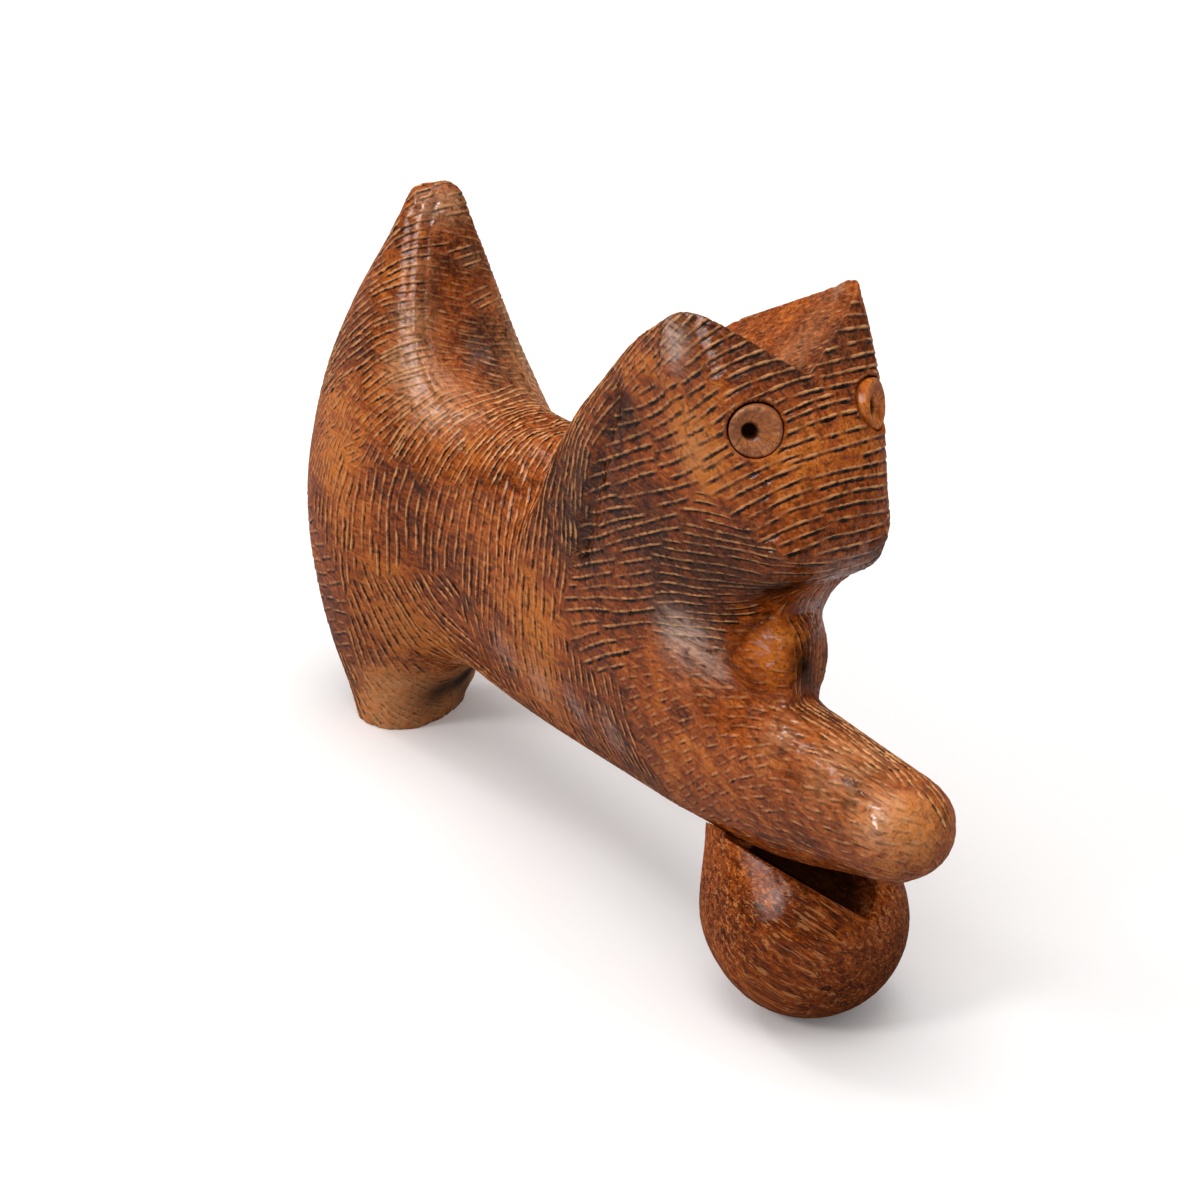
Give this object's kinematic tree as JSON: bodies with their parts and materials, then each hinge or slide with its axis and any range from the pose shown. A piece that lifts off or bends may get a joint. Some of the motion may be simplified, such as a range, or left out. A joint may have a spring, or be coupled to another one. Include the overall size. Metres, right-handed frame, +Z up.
{
  "type": "carved cat figurine",
  "caption": "Carved wooden cat figurine that reaches a foreleg over a ball, with a raised tail, notched ears and turned disc eyes; stands free as an ornament.",
  "frame": {"origin": "middle of the bounding box's footprint, on the floor under the hind foot and the ball", "axes": "+Z up; the cat looks along -Y and its right side is -X"},
  "size_m": [0.0432, 0.2124, 0.1255],
  "materials": {
    "cat_wood": "oiled, tooled with a gouge",
    "right_eye_wood": "oiled, turned",
    "left_eye_wood": "oiled, turned",
    "ball_wood": "oiled, smooth",
    "peg_wood": "plain dowel"
  },
  "bodies": {
    "root": {"cat_body": "cat_wood", "right_eye": "right_eye_wood", "left_eye": "left_eye_wood", "ball": "ball_wood", "ball_peg": "peg_wood"}
  },
  "joints": []
}
